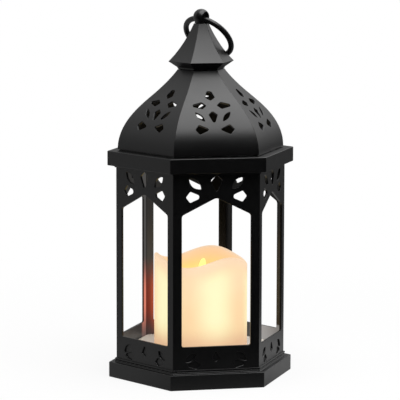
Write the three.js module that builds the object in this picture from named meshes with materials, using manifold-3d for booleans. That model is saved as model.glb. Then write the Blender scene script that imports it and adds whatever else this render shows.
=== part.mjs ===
// Hexagonal lantern with a battery candle: six pierced panels with arched windows stand
// between a plinth and an eave, under an ogee dome with pierced facets, a flared cap and a
// hanging ring. Millimetres, +Z up. The origin is the centre of the plinth's underside, and
// two corners of the hexagon lie on +X and -X.
import * as THREE from 'three';
import { mergeVertices } from 'three/addons/utils/BufferGeometryUtils.js';
import Module from 'manifold-3d';

const wasm = await Module();
wasm.setup();

// General
const sides = 6;
const gap = 0.3;
const wall = 2.0;

// Side panels. The corners of the hexagon they make set the width of the whole lantern.
const bodyCorner = 59.0;
const panelHeight = 134.0;
const stileWidth = 5.9;
const sillHeight = 16.7;
const headHeight = 28.4;
const apexRise = 11.7;
const beadHeight = 1.1;
const beadProud = 0.9;
const blindDepth = 1.0;

// Plinth
const plinthOverhang = 5.2;
const plinthHeight = 10.5;
const stepInset = 1.4;
const stepHeight = 1.2;

// Eave
const eaveOverhang = 6.0;
const eaveHeight = 10.0;
const collarDepth = 1.2;

// Dome
const domeInset = 1.1;
const domeSeam = 0.9;
const domeHeight = 53.7;
const neckCorner = 16.4;
const waistIn = 0.6;
const waistUp = 0.693;
const waistLean = 46.4;
const footLead = 0.335;
const swellLead = 0.207;
const sweepLead = 0.245;

// Cap
const capHeight = 30.7;
const capRimCorner = 22.8;
const capRimRise = 5.6;
const capLipRise = 1.2;
const capLipFlare = 0.5;
const capTopCorner = 5.2;
const capWall = 1.8;

// Ball and hanging ring
const ballRadius = 5.3;
const ballRise = 4.6;
const collarRadius = 4.5;
const stemRadius = 2.4;
const eyeDrop = 0.6;
const pivotDrop = 0.8;
const eyeRadius = 2.9;
const eyeFlare = 1.6;
const ringRadius = 17.2;
const ringWire = 1.75;
const ringTurn = 50;
const ringTilt = 8;

// Candle
const candleRadius = 32.0;
const candleHeight = 65.8;
const waxWall = 2.5;
const lipRadius = 1.5;
const recessDepth = 23.0;
const recessFlat = 18.0;
const spigotRadius = 3.4;
const flameRadius = 5.0;
const flameHeight = 21.6;

// Lamp
const lampRadius = 1.5;
const lampLength = 7.7;
const boardRadius = 9.5;
const boardThickness = 1.6;
const towerRadius = 7.0;
const towerWall = 1.5;

// Battery well, its cover and its door
const cellRadius = 5.25;
const cellLength = 44.5;
const cellCount = 3;
const nubRadius = 1.9;
const nubLength = 0.8;
const wellWall = 1.2;
const contactSheet = 0.3;
const contactBump = 1.2;
const coverRecess = 1.2;
const coverThickness = 2.0;
const doorThickness = 1.5;
const seatWidth = 0.6;
const ledgeThickness = 1.4;
const ledgeWidth = 1.6;
const pinRadius = 0.6;
const pinLength = 1.0;

// Fasteners and switch
const screwRadius = 1.1;
const screwHead = 2.4;
const screwHeadHeight = 1.6;
const headSink = 0.9;
const coverScrewLength = 6.5;
const finialScrewLength = 16.0;
const bossWall = 1.6;
const bossInset = 22.0;
const switchInset = 25.2;
const switchTravel = 6.0;
const knobLength = 4.0;
const knobWidth = 3.0;
const knobPlate = 2.0;
const housingWall = 1.0;

// Colours and finishes
const blackSatin = { color: 0x17171a, roughness: 0.38, metalness: 0.0 };
const whiteSatin = { color: 0xe9e7e2, roughness: 0.5, metalness: 0.0 };
const wax = { color: 0xffd9a0, roughness: 0.55, metalness: 0.0 };
const flameAmber = { color: 0xffd23c, roughness: 0.35, metalness: 0.0 };
const steel = { color: 0xb4b6b8, roughness: 0.3, metalness: 1.0 };
const boardGreen = { color: 0x1f5b38, roughness: 0.45, metalness: 0.0 };
const cellJacket = { color: 0x4d5a66, roughness: 0.4, metalness: 0.2 };

const halfTurn = Math.PI / sides;
const apothemOf = (corner) => corner * Math.cos(halfTurn);
const cornerOf = (apothem) => apothem / Math.cos(halfTurn);

// A closed triangle mesh as a solid that can be cut and joined.
function toSolid(geometry) {
  const bare = geometry.index ? geometry.toNonIndexed() : geometry.clone();
  for (const name of Object.keys(bare.attributes)) {
    if (name !== 'position') bare.deleteAttribute(name);
  }
  const merged = mergeVertices(bare, 1e-4);
  const index = merged.index.array;
  const triangles = [];
  for (let i = 0; i < index.length; i += 3) {
    const [a, b, c] = [index[i], index[i + 1], index[i + 2]];
    if (a !== b && b !== c && c !== a) triangles.push(a, b, c);
  }
  return new wasm.Manifold(new wasm.Mesh({
    numProp: 3,
    vertProperties: new Float32Array(merged.attributes.position.array),
    triVerts: new Uint32Array(triangles),
  }));
}

function toGeometry(solid) {
  const mesh = solid.getMesh();
  const geometry = new THREE.BufferGeometry();
  geometry.setAttribute('position', new THREE.BufferAttribute(new Float32Array(mesh.vertProperties), 3));
  geometry.setIndex(new THREE.BufferAttribute(new Uint32Array(mesh.triVerts), 1));
  return geometry;
}

// Joins the added shapes to the base, then takes the cut shapes away.
function carve(base, { add = [], cut = [] }) {
  let solid = toSolid(base);
  for (const shape of add) solid = solid.add(toSolid(shape));
  for (const shape of cut) solid = solid.subtract(toSolid(shape));
  return toGeometry(solid);
}

// A profile of [radius, height] points turned round the Z axis.
function turned(profile, segments) {
  const points = profile.map(([radius, height]) => new THREE.Vector2(radius, height));
  return new THREE.LatheGeometry(points, segments).rotateX(Math.PI / 2);
}

// A profile of [apothem, height] points swept round the hexagon, mitred at its corners.
function hexagonal(profile) {
  const points = profile.map(([apothem, height]) => new THREE.Vector2(cornerOf(apothem), height));
  return new THREE.LatheGeometry(points, sides, halfTurn).rotateX(Math.PI / 2);
}

function block(width, depth, low, high, x = 0, y = 0) {
  return new THREE.BoxGeometry(width, depth, high - low).translate(x, y, (low + high) / 2);
}

function post(radius, low, high, x = 0, y = 0, segments = 20) {
  return new THREE.CylinderGeometry(radius, radius, high - low, segments)
    .rotateX(Math.PI / 2)
    .translate(x, y, (low + high) / 2);
}

// The points of a closed outline with rounded corners, from [x, y, rounding] corners.
function rounded(corners, segments) {
  const outline = new THREE.Path();
  corners.forEach(([x, y, rounding], i) => {
    const corner = new THREE.Vector2(x, y);
    const before = new THREE.Vector2(...corners.at(i - 1)).sub(corner);
    const after = new THREE.Vector2(...corners[(i + 1) % corners.length]).sub(corner);
    const reach = Math.min(rounding, 0.49 * before.length(), 0.49 * after.length());
    const start = before.setLength(reach).add(corner);
    const end = after.setLength(reach).add(corner);
    if (i === 0) outline.moveTo(start.x, start.y);
    else outline.lineTo(start.x, start.y);
    outline.quadraticCurveTo(x, y, end.x, end.y);
  });
  return outline.getPoints(segments);
}

// The ornaments are made of two shapes that lie along +X from the origin: a petal, narrow
// at its start and broad near its pointed end, and an almond-shaped leaf. Their sizes are
// shares of the band that the ornament fills.
function petal(length, width, narrow) {
  const shoulder = 0.68 * length;
  const point = 0.09 * length;
  return [
    [0, -narrow / 2, narrow / 2],
    [shoulder, -width / 2, point],
    [length, 0, point],
    [shoulder, width / 2, point],
    [0, narrow / 2, narrow / 2],
  ];
}

function leaf(length, width) {
  const edge = new THREE.QuadraticBezierCurve(
    new THREE.Vector2(0, 0),
    new THREE.Vector2(length / 2, width),
    new THREE.Vector2(length, 0),
  ).getPoints(5);
  const lower = edge.map((point) => [point.x, -point.y, 0]);
  const upper = edge.slice(1, -1).reverse().map((point) => [point.x, point.y, 0]);
  return [...lower, ...upper];
}

// One opening of an ornament: a shape, the place of its start and the way it points.
const opening = (shape, x, y, degrees) => ({ shape, x, y, degrees });
const pair = (item) => [item, { ...item, x: -item.x, degrees: 180 - item.degrees }];

// The opening's outline at its full size, above the ornament's foot.
function outlineOf({ shape, x, y, degrees }, size, foot = 0) {
  const angle = THREE.MathUtils.degToRad(degrees);
  const corners = shape.map(([u, v, rounding]) => [
    size * (x + u * Math.cos(angle) - v * Math.sin(angle)),
    size * (y + u * Math.sin(angle) + v * Math.cos(angle)) + foot,
    size * rounding,
  ]);
  return rounded(corners, 1);
}

// Levels, stacked from the ground up
const stepTop = plinthHeight + stepHeight;
const panelFoot = stepTop + gap;
const panelHead = panelFoot + panelHeight;
const eaveUnder = panelHead + gap;
const eaveTop = eaveUnder + eaveHeight;
const domeFoot = eaveTop + domeSeam;
const neckTop = domeFoot + domeHeight;
const capFoot = neckTop + gap;
const capTop = capFoot + capHeight;
const ballFoot = capTop + gap;
const ballCentre = capTop + ballRise;

// Distances from the axis
const plinthCorner = bodyCorner + plinthOverhang;
const plinthInside = apothemOf(plinthCorner) - wall;
const bodyApothem = apothemOf(bodyCorner);
const bodyInside = bodyApothem - wall;

const lantern = new THREE.Group();
lantern.name = 'lantern';

function addPart(name, geometry, finish, parent = lantern) {
  const mesh = new THREE.Mesh(geometry, new THREE.MeshStandardMaterial(finish));
  mesh.name = name;
  parent.add(mesh);
  return mesh;
}

// Battery well: the cells lie side by side over the door, and its roof is level with the
// floor plate.
const cellPitch = 2 * cellRadius + gap;
const wellHalfX = ((cellCount - 1) / 2) * cellPitch + cellRadius + gap;
const wellHalfY = cellLength / 2 + contactBump + contactSheet + 2 * gap;
const coverTop = coverRecess + coverThickness;
const doorTop = coverRecess + doorThickness;
const ledgeLow = doorTop + gap;
const cellCentre = ledgeLow + cellRadius;
const wellCeiling = cellCentre + cellRadius + gap;
const wellRoof = wellCeiling + wellWall;
const wellWidth = 2 * (wellHalfX + wellWall);
const wellDepth = 2 * (wellHalfY + wellWall);
const wellWindow = (low, high) => block(wellWidth + 2 * gap, wellDepth + 2 * gap, low, high);

const screwPlaces = [0, 120, 240].map((degrees) => {
  const angle = THREE.MathUtils.degToRad(degrees);
  const reach = plinthCorner - bossInset;
  return { x: reach * Math.cos(angle), y: reach * Math.sin(angle) };
});

// Plinth: a moulded shell, open underneath, with a step that the panels stand on, a window
// for the battery well and three screw bosses.
const bossFoot = coverTop + gap;
const screwHole = screwRadius + gap;

function plinth() {
  const outside = apothemOf(plinthCorner);
  const step = apothemOf(bodyCorner - stepInset);
  const shell = hexagonal([
    [0, stepTop - wall],
    [step - wall, stepTop - wall],
    [step - wall, plinthHeight - wall],
    [plinthInside, plinthHeight - wall],
    [plinthInside, 0],
    [outside, 0],
    [outside, plinthHeight],
    [step, plinthHeight],
    [step, stepTop],
    [0, stepTop],
  ]);
  const ceiling = stepTop - wall;
  const bossRadius = screwRadius + bossWall;
  const bosses = screwPlaces.map(({ x, y }) => post(bossRadius, bossFoot, ceiling + gap, x, y, 12));
  const bores = screwPlaces.map(({ x, y }) => post(screwHole, bossFoot - wall, ceiling, x, y, 12));
  return carve(shell, { add: bosses, cut: [...bores, wellWindow(0, stepTop + wall)] });
}
addPart('base_plinth', plinth(), blackSatin);

// Floor of the chamber: a white plate inside the panels, round the well.
const floorTop = wellRoof;
const floorEdge = bodyInside - gap;
const floorPlate = hexagonal([[0, panelFoot], [floorEdge, panelFoot], [floorEdge, floorTop], [0, floorTop]]);
addPart('floor_plate', carve(floorPlate, { cut: [wellWindow(stepTop, floorTop + wall)] }), whiteSatin);

// Side panel: drawn flat, with an arched window, a fan of five openings above it and the
// same kind of fan sunk blind below it. A bead runs along its foot and its head, and its
// ends are mitred to meet the next panels.
const panelHalf = bodyCorner / 2;
const windowHalf = panelHalf - stileWidth;
const windowSill = panelFoot + sillHeight;
const windowShoulder = panelHead - headHeight;
const windowApex = windowShoulder + apexRise;

const windowOutline = rounded([
  [-windowHalf, windowSill, 1.5],
  [windowHalf, windowSill, 1.5],
  [windowHalf, windowShoulder, 1.6],
  [0, windowApex, 2.0],
  [-windowHalf, windowShoulder, 1.6],
], 2);

const fanSize = Math.min(headHeight - apexRise, 0.283 * bodyCorner);
const piercedFan = [
  opening(petal(0.64, 0.48, 0.11), 0, 0.27, 90),
  ...pair(opening(leaf(0.68, 0.31), 1.126, 0.8, 222)),
  ...pair(opening(petal(0.55, 0.46, 0.14), 0.7, 0.036, 0)),
];

const blindSize = Math.min(sillHeight, 0.283 * bodyCorner);
const blindFan = [
  opening(petal(0.4, 0.32, 0.08), 0, 0.77, 270),
  ...pair(opening(leaf(0.53, 0.25), 1.26, 0.38, 139)),
  ...pair(opening(petal(0.5, 0.34, 0.11), 1.16, 0.26, 180)),
];

// Moves the ends of a flat bar, whose Z is its distance from the axis, onto the mitre.
function mitre(geometry) {
  const position = geometry.attributes.position;
  for (let i = 0; i < position.count; i += 1) {
    const across = position.getX(i);
    if (Math.abs(across) > panelHalf - gap) {
      const end = position.getZ(i) * Math.tan(halfTurn) - gap / 2 / Math.cos(halfTurn);
      position.setX(i, Math.sign(across) * end);
    }
  }
  return geometry;
}

function panelBead(low) {
  const depth = wall + beadProud;
  const bar = new THREE.BoxGeometry(bodyCorner, beadHeight, depth);
  return mitre(bar.translate(0, low + beadHeight / 2, bodyInside + depth / 2));
}

function sidePanel() {
  const sheet = new THREE.Shape([
    new THREE.Vector2(-panelHalf, panelFoot),
    new THREE.Vector2(panelHalf, panelFoot),
    new THREE.Vector2(panelHalf, panelHead),
    new THREE.Vector2(-panelHalf, panelHead),
  ]);
  sheet.holes = [
    new THREE.Path(windowOutline),
    ...piercedFan.map((item) => new THREE.Path(outlineOf(item, fanSize, windowApex))),
  ];
  const flat = new THREE.ExtrudeGeometry(sheet, { depth: wall, bevelEnabled: false });
  const sunk = blindFan.map((item) => new THREE.ExtrudeGeometry(
    new THREE.Shape(outlineOf(item, blindSize, panelFoot)),
    { depth: wall, bevelEnabled: false },
  ).translate(0, 0, bodyApothem - blindDepth));
  return carve(mitre(flat.translate(0, 0, bodyInside)), {
    add: [panelBead(panelFoot), panelBead(panelHead - beadHeight)],
    cut: sunk,
  }).rotateX(Math.PI / 2);
}

const panelGeometry = sidePanel();
for (let i = 0; i < sides; i += 1) {
  const panel = addPart(`side_panel_${i + 1}`, panelGeometry, blackSatin);
  panel.rotation.z = 2 * halfTurn * i;
}

// Eave: a frame over the panels, open underneath at its edge. Its collar drops inside the
// panels' heads, and the dome stands on the rim round its middle.
const domeFootIn = apothemOf(bodyCorner - domeInset);

function eave() {
  const outside = apothemOf(bodyCorner + eaveOverhang);
  const collarOut = bodyInside - gap;
  const collarIn = collarOut - wall;
  const webOut = bodyApothem + beadProud + gap;
  const rimOut = domeFootIn - wall / 2;
  return hexagonal([
    [collarIn, eaveUnder - collarDepth],
    [collarOut, eaveUnder - collarDepth],
    [collarOut, eaveUnder],
    [webOut, eaveUnder],
    [webOut, eaveTop - wall],
    [outside - wall, eaveTop - wall],
    [outside - wall, eaveUnder],
    [outside, eaveUnder],
    [outside, eaveTop],
    [rimOut, eaveTop],
    [rimOut, domeFoot - gap],
    [collarIn, domeFoot - gap],
    [collarIn, eaveTop - wall],
    [webOut - wall, eaveTop - wall],
    [webOut - wall, eaveUnder + wall],
    [collarIn, eaveUnder + wall],
    [collarIn, eaveUnder - collarDepth],
  ]);
}
addPart('eave_ring', eave(), blackSatin);

// Dome: an ogee. Each facet rises upright from its foot, bends in to the waist and sweeps
// up to the neck. The curve is drawn in the plane through the middle of a facet.
const neckIn = apothemOf(neckCorner);

function facetCurve() {
  const reach = domeFootIn - neckIn;
  const lean = THREE.MathUtils.degToRad(waistLean);
  const waist = new THREE.Vector2(domeFootIn - waistIn * reach, domeFoot + waistUp * domeHeight);
  const slope = new THREE.Vector2(-Math.sin(lean), Math.cos(lean));
  const curve = new THREE.CurvePath();
  curve.add(new THREE.CubicBezierCurve(
    new THREE.Vector2(domeFootIn, domeFoot),
    new THREE.Vector2(domeFootIn, domeFoot + footLead * domeHeight),
    waist.clone().addScaledVector(slope, -swellLead * domeHeight),
    waist,
  ));
  curve.add(new THREE.QuadraticBezierCurve(
    waist,
    waist.clone().addScaledVector(slope, sweepLead * domeHeight),
    new THREE.Vector2(neckIn, neckTop),
  ));
  return curve;
}

// Points at even steps along a curve, moved to its left by a distance.
function stepsAlong(curve, steps, distance = 0) {
  return Array.from({ length: steps + 1 }, (_, i) => {
    const at = curve.getPointAt(i / steps);
    const way = curve.getTangentAt(i / steps);
    return [at.x - way.y * distance, at.y + way.x * distance];
  });
}

// Ornament of a facet, in shares of the facet's length and measured from its foot: a fan of
// five openings, and three petals round a point above it.
const facetOrnament = [
  opening(petal(0.131, 0.09, 0.021), 0, 0.352, 90),
  ...pair(opening(leaf(0.138, 0.044), 0.179, 0.472, 232)),
  ...pair(opening(petal(0.131, 0.104, 0.018), 0.069, 0.271, 0)),
  ...pair(opening(petal(0.135, 0.087, 0.027), 0.191, 0.558, 180)),
  opening(petal(0.12, 0.096, 0.045), 0, 0.746, 270),
];

// Cutter for one opening, drawn flat and stood square to the facet at the opening's middle.
function facetCutter(curve, item) {
  const length = curve.getLength();
  const size = Math.min(length, 1.15 * (bodyCorner - domeInset));
  const outline = outlineOf(item, size, (length - size) / 2);
  const heights = outline.map((point) => point.y);
  const middle = (Math.min(...heights) + Math.max(...heights)) / 2;
  const at = curve.getPointAt(middle / length);
  const way = curve.getTangentAt(middle / length);
  const flat = new THREE.Shape(outline.map((point) => new THREE.Vector2(point.x, point.y - middle)));
  const across = new THREE.Vector3(1, 0, 0);
  const up = new THREE.Vector3(0, -way.x, way.y);
  const out = new THREE.Vector3().crossVectors(across, up);
  return new THREE.ExtrudeGeometry(flat, { depth: 4 * wall, bevelEnabled: false })
    .translate(0, 0, -2.5 * wall)
    .applyMatrix4(new THREE.Matrix4().makeBasis(across, up, out).setPosition(0, -at.x, at.y));
}

function dome() {
  const curve = facetCurve();
  const outer = stepsAlong(curve, 12);
  const inner = stepsAlong(curve, 12, wall).filter(([, height]) => height < neckTop - wall);
  const shell = hexagonal([
    ...outer,
    [0, neckTop],
    [0, neckTop - wall],
    [neckIn - wall / 2, neckTop - wall],
    ...inner.reverse(),
    outer[0],
  ]);
  const cut = [post(screwHole, neckTop - 2 * wall, neckTop + wall)];
  for (let i = 0; i < sides; i += 1) {
    for (const item of facetOrnament) cut.push(facetCutter(curve, item).rotateZ(2 * halfTurn * i));
  }
  return carve(shell, { cut });
}
addPart('roof_dome', dome(), blackSatin);

// Cap: a flared hollow hexagon on the dome's neck. The ball's stem goes down through its top.
function cap() {
  const lip = neckIn - capLipFlare / 2;
  const rim = apothemOf(capRimCorner);
  const rimLevel = capFoot + capRimRise;
  const flank = new THREE.QuadraticBezierCurve(
    new THREE.Vector2(rim, rimLevel),
    new THREE.Vector2(0.53 * rim, rimLevel + 0.31 * capHeight),
    new THREE.Vector2(apothemOf(capTopCorner), capTop),
  );
  const inner = stepsAlong(flank, 8, capWall).filter(([, height]) => height < capTop - 1.5 * capWall);
  const shell = hexagonal([
    [lip - capWall, capFoot],
    [lip, capFoot],
    [lip + capLipFlare, capFoot + capLipRise],
    ...stepsAlong(flank, 8),
    [0, capTop],
    [0, capTop - capWall],
    [stemRadius, capTop - capWall],
    ...inner.slice(1).reverse(),
    [lip - capWall, capFoot + capLipRise + capWall],
    [lip - capWall, capFoot],
  ]);
  return carve(shell, { cut: [post(stemRadius + gap, capTop - 3 * capWall, capTop + capWall)] });
}
const capGeometry = cap();
addPart('finial_cap', capGeometry, blackSatin);

// Ball: a bead on a collar, with a bell-mouthed eye across it for the ring and a stem down
// through the cap to the dome's neck.
const ringAngle = THREE.MathUtils.degToRad(ringTurn);
const eyeCentre = ballCentre - eyeDrop;
const stemFoot = neckTop + gap;

function eyeCutter() {
  const reach = 1.2 * ballRadius;
  const steps = 8;
  const mouth = Array.from({ length: steps + 1 }, (_, i) => {
    const along = reach * ((2 * i) / steps - 1);
    return [eyeRadius + eyeFlare * (along / ballRadius) ** 2, along];
  });
  return turned([[0, -reach], ...mouth, [0, reach]], 20)
    .rotateY(Math.PI / 2)
    .rotateZ(-ringAngle)
    .translate(0, 0, eyeCentre);
}

function ball() {
  const bead = new THREE.SphereGeometry(ballRadius, 20, 12).rotateX(Math.PI / 2).translate(0, 0, ballCentre);
  const onCollar = carve(bead, {
    add: [post(collarRadius, ballFoot, ballCentre - eyeRadius / 2, 0, 0, 20)],
    cut: [block(4 * ballRadius, 4 * ballRadius, ballFoot - 2 * ballRadius, ballFoot)],
  });
  return carve(onCollar, {
    add: [post(stemRadius, stemFoot, ballFoot + gap, 0, 0, 20)],
    cut: [eyeCutter(), post(screwHole, stemFoot - gap, stemFoot + finialScrewLength - wall, 0, 0, 12)],
  });
}
addPart('finial_ball', ball(), blackSatin);

// A pan-head screw, its head downwards.
function screw(headTop, length) {
  return turned([
    [0, headTop - screwHeadHeight],
    [0.75 * screwHead, headTop - screwHeadHeight],
    [screwHead, headTop - screwHeadHeight / 2],
    [screwHead, headTop],
    [screwRadius, headTop],
    [screwRadius, headTop + length - screwRadius],
    [0.4 * screwRadius, headTop + length],
    [0, headTop + length],
  ], 12);
}
addPart('finial_screw', screw(neckTop - wall - gap, finialScrewLength), steel);

// Hanging ring: it runs through the eye and leans back until it rests on the cap. Its group
// stands at the pivot in the eye, with X along the eye, and the ring hangs from there.
const ringPivot = eyeCentre - pivotDrop;
const ringLoop = new THREE.TorusGeometry(ringRadius, ringWire, 10, 36)
  .translate(0, ringRadius, 0)
  .rotateZ(THREE.MathUtils.degToRad(ringTilt));

function ringPlace(degrees) {
  const lean = THREE.MathUtils.degToRad(degrees);
  const along = new THREE.Vector3(Math.cos(ringAngle), -Math.sin(ringAngle), 0);
  const back = new THREE.Vector3(Math.sin(ringAngle), Math.cos(ringAngle), 0);
  const down = back.multiplyScalar(Math.sin(lean)).setZ(-Math.cos(lean));
  const square = new THREE.Vector3().crossVectors(along, down);
  return new THREE.Matrix4().makeBasis(along, down, square).setPosition(0, 0, ringPivot);
}

function restingPlace() {
  const capSolid = toSolid(capGeometry);
  const loop = toSolid(ringLoop);
  let lean = 30;
  while (lean < 80 && loop.transform(ringPlace(lean).elements).minGap(capSolid, 1) < gap) {
    lean += 0.5;
  }
  return ringPlace(lean);
}

const ringGroup = new THREE.Group();
ringGroup.applyMatrix4(restingPlace());
lantern.add(ringGroup);
addPart('hanging_ring', ringLoop, blackSatin, ringGroup);

// Candle: a wax-look shell, open below, with a melted rim of three waves round a deep recess.
const candleFoot = floorTop + gap;
const candleTop = candleFoot + candleHeight;
const candleBore = candleRadius - waxWall;
const recessFloor = candleTop - recessDepth;
const rimWaves = [
  { count: 3, height: 3.7, turn: 61 },
  { count: 1, height: 0.9, turn: 176 },
  { count: 2, height: 0.7, turn: 96 },
];

function rimHeight(angle) {
  return rimWaves.reduce((sum, { count, height, turn }) => (
    sum + height * Math.cos(count * (angle + THREE.MathUtils.degToRad(turn)))
  ), 0);
}

// Lifts and drops the rim with the angle. The wave fades out down the wall.
function meltRim(geometry) {
  const fadeFrom = recessFloor + waxWall;
  const position = geometry.attributes.position;
  for (let i = 0; i < position.count; i += 1) {
    const height = position.getZ(i);
    if (height > fadeFrom) {
      const share = (height - fadeFrom) / (candleTop - fadeFrom);
      const angle = Math.atan2(position.getY(i), position.getX(i));
      position.setZ(i, height + share * rimHeight(angle));
    }
  }
  return geometry;
}

function candleShell() {
  const inside = candleRadius - 2 * lipRadius;
  const under = recessFloor - waxWall;
  const lip = Array.from({ length: 5 }, (_, i) => [
    candleRadius - lipRadius + lipRadius * Math.cos((i * Math.PI) / 4),
    candleTop - lipRadius + lipRadius * Math.sin((i * Math.PI) / 4),
  ]);
  const bowl = new THREE.QuadraticBezierCurve(
    new THREE.Vector2(inside, candleTop - lipRadius),
    new THREE.Vector2(inside - lipRadius, recessFloor),
    new THREE.Vector2(recessFlat, recessFloor),
  ).getPoints(6).slice(1);
  const ceiling = new THREE.QuadraticBezierCurve(
    new THREE.Vector2(recessFlat, under),
    new THREE.Vector2(candleBore, under),
    new THREE.Vector2(candleBore, recessFloor),
  ).getPoints(4);
  return meltRim(turned([
    [candleBore, candleFoot],
    [candleRadius, candleFoot],
    [candleRadius, candleTop - recessDepth / 2],
    ...lip,
    ...bowl.map((point) => [point.x, point.y]),
    [spigotRadius + gap, recessFloor],
    [spigotRadius + gap, under],
    ...ceiling.map((point) => [point.x, point.y]),
    [candleBore, candleFoot],
  ], 36));
}
addPart('candle_shell', candleShell(), wax);

// Flame: a hollow teardrop that stands in the recess, its spigot through the recess floor.
const spigotFoot = recessFloor - waxWall - gap;
const flameFoot = recessFloor + gap;
const lampBore = lampRadius + gap;

function flame() {
  const at = (share) => flameFoot + share * flameHeight;
  const side = new THREE.CubicBezierCurve(
    new THREE.Vector2(0.85 * flameRadius, flameFoot),
    new THREE.Vector2(1.25 * flameRadius, at(0.3)),
    new THREE.Vector2(0.4 * flameRadius, at(0.75)),
    new THREE.Vector2(0, at(1)),
  ).getPoints(8);
  return turned([
    [lampBore, spigotFoot],
    [spigotRadius, spigotFoot],
    [spigotRadius, flameFoot],
    ...side.map((point) => [point.x, point.y]),
    [0, at(0.45)],
    [lampBore, at(0.35)],
    [lampBore, spigotFoot],
  ], 20);
}
addPart('flame_tip', flame(), flameAmber);

// Lamp and board, on the tower that stands on the candle's base disc.
const boardTop = spigotFoot - gap;
const boardUnder = boardTop - boardThickness;
const lampFoot = boardTop + gap;

addPart('lamp_led', turned([
  [0, lampFoot],
  [lampRadius, lampFoot],
  [lampRadius, lampFoot + lampLength - lampRadius],
  [0.7 * lampRadius, lampFoot + lampLength - 0.3 * lampRadius],
  [0, lampFoot + lampLength],
], 12), flameAmber);

addPart('circuit_board', post(boardRadius, boardUnder, boardTop, 0, 0, 24), boardGreen);

function tower() {
  const bore = towerRadius - towerWall;
  const discTop = candleFoot + wall;
  return turned([
    [bore, candleFoot],
    [candleBore - gap, candleFoot],
    [candleBore - gap, discTop],
    [towerRadius + towerWall, discTop],
    [towerRadius, discTop + towerWall],
    [towerRadius, boardUnder - gap],
    [bore, boardUnder - gap],
    [bore, candleFoot],
  ], 24);
}
addPart('candle_tower', tower(), whiteSatin);

// Cover: closes the plinth from below. The battery well is moulded on it, with the seat of
// its door, open slots for the door's pins, a slot for the switch and three screw holes.
const doorHalfX = wellHalfX + wellWall + seatWidth;
const doorHalfY = wellHalfY + wellWall + seatWidth;
const pinPlace = doorThickness / 2 - doorHalfY;
const pinLevel = coverRecess + doorThickness / 2;
const switchPlace = switchInset - plinthCorner;
const headSeat = coverRecess + headSink;

function cover() {
  const edge = plinthInside - gap;
  const below = coverRecess - 1;
  const above = coverTop + 1;
  const pinSlot = pinRadius + gap;
  const plate = hexagonal([[0, coverRecess], [edge, coverRecess], [edge, coverTop], [0, coverTop]]);
  const ledgeX = 2 * (doorHalfX + ledgeWidth);
  const ledgeY = 2 * (doorHalfY + ledgeWidth);
  const ledge = block(ledgeX, ledgeY, ledgeLow, ledgeLow + ledgeThickness);
  return carve(plate, {
    add: [ledge, block(wellWidth, wellDepth, ledgeLow, wellRoof)],
    cut: [
      block(2 * (doorHalfX + gap), 2 * (doorHalfY + gap), below, ledgeLow),
      block(2 * wellHalfX, 2 * wellHalfY, ledgeLow - gap, wellCeiling),
      block(2 * (doorHalfX + pinLength + gap), 2 * pinSlot, below, pinLevel + pinSlot, 0, pinPlace),
      block(4 * ledgeWidth, 2 * ledgeWidth, below, headSeat, 0, doorHalfY + ledgeWidth),
      block(knobWidth + 2 * gap, knobLength + switchTravel + 2 * gap, below, above, switchPlace, 0),
      ...screwPlaces.map(({ x, y }) => post(screwHole, below, above, x, y, 12)),
      ...screwPlaces.map(({ x, y }) => post(screwHead + gap, below, headSeat, x, y, 16)),
    ],
  });
}
addPart('base_cover', cover(), blackSatin);

screwPlaces.forEach(({ x, y }, i) => {
  const fastener = addPart(`base_screw_${i + 1}`, screw(headSeat - gap, coverScrewLength), steel);
  fastener.position.set(x, y, 0);
});

// Door: a plate with a rounded edge at its two pivot pins.
function door() {
  const side = new THREE.Shape();
  side.moveTo(doorHalfY, coverRecess);
  side.lineTo(doorHalfY, doorTop);
  side.lineTo(pinPlace, doorTop);
  side.absarc(pinPlace, pinLevel, doorThickness / 2, Math.PI / 2, 1.5 * Math.PI, false);
  const across = { depth: 2 * doorHalfX, bevelEnabled: false, curveSegments: 6 };
  const plate = new THREE.ExtrudeGeometry(side, across)
    .rotateX(Math.PI / 2)
    .rotateZ(Math.PI / 2)
    .translate(-doorHalfX, 0, 0);
  const pins = new THREE.CylinderGeometry(pinRadius, pinRadius, 2 * (doorHalfX + pinLength), 12)
    .rotateZ(Math.PI / 2)
    .translate(0, pinPlace, pinLevel);
  return carve(plate, { add: [pins] });
}
addPart('battery_door', door(), blackSatin);

// Cells, laid end for end in turn between the two contact strips.
function cell() {
  const half = cellLength / 2;
  const edge = cellRadius - contactSheet;
  return turned([
    [0, -half],
    [edge, -half],
    [cellRadius, contactSheet - half],
    [cellRadius, half - nubLength - contactSheet],
    [edge, half - nubLength],
    [nubRadius, half - nubLength],
    [nubRadius, half],
    [0, half],
  ], 16).rotateX(-Math.PI / 2);
}

const cellGeometry = cell();
const cellPlaces = Array.from({ length: cellCount }, (_, i) => (i - (cellCount - 1) / 2) * cellPitch);
cellPlaces.forEach((x, i) => {
  const battery = addPart(`battery_${i + 1}`, cellGeometry, cellJacket);
  battery.position.set(x, 0, cellCentre);
  battery.rotation.z = i * Math.PI;
});

function contactStrip() {
  const sheet = new THREE.BoxGeometry(2 * (wellHalfX - gap), contactSheet, 1.6 * cellRadius);
  const spring = turned([
    [0, 0],
    [0.57 * cellRadius, 0],
    [0.3 * cellRadius, contactBump + contactSheet / 2],
    [0, contactBump + contactSheet / 2],
  ], 12).rotateX(Math.PI / 2);
  return carve(sheet, { add: cellPlaces.map((x) => spring.clone().translate(x, 0, 0)) });
}

const stripGeometry = contactStrip();
const stripPlace = wellHalfY - gap - contactSheet / 2;
['contact_strip_front', 'contact_strip_rear'].forEach((name, i) => {
  const strip = addPart(name, stripGeometry, steel);
  strip.position.set(0, i === 0 ? -stripPlace : stripPlace, cellCentre);
  strip.rotation.z = i === 0 ? Math.PI : 0;
});

// Slide switch: a housing on the cover, and a knob that slides in the cover's slot.
const housingFoot = coverTop + gap;
const knobLow = housingFoot + gap;
const knobHigh = knobLow + knobPlate;

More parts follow.
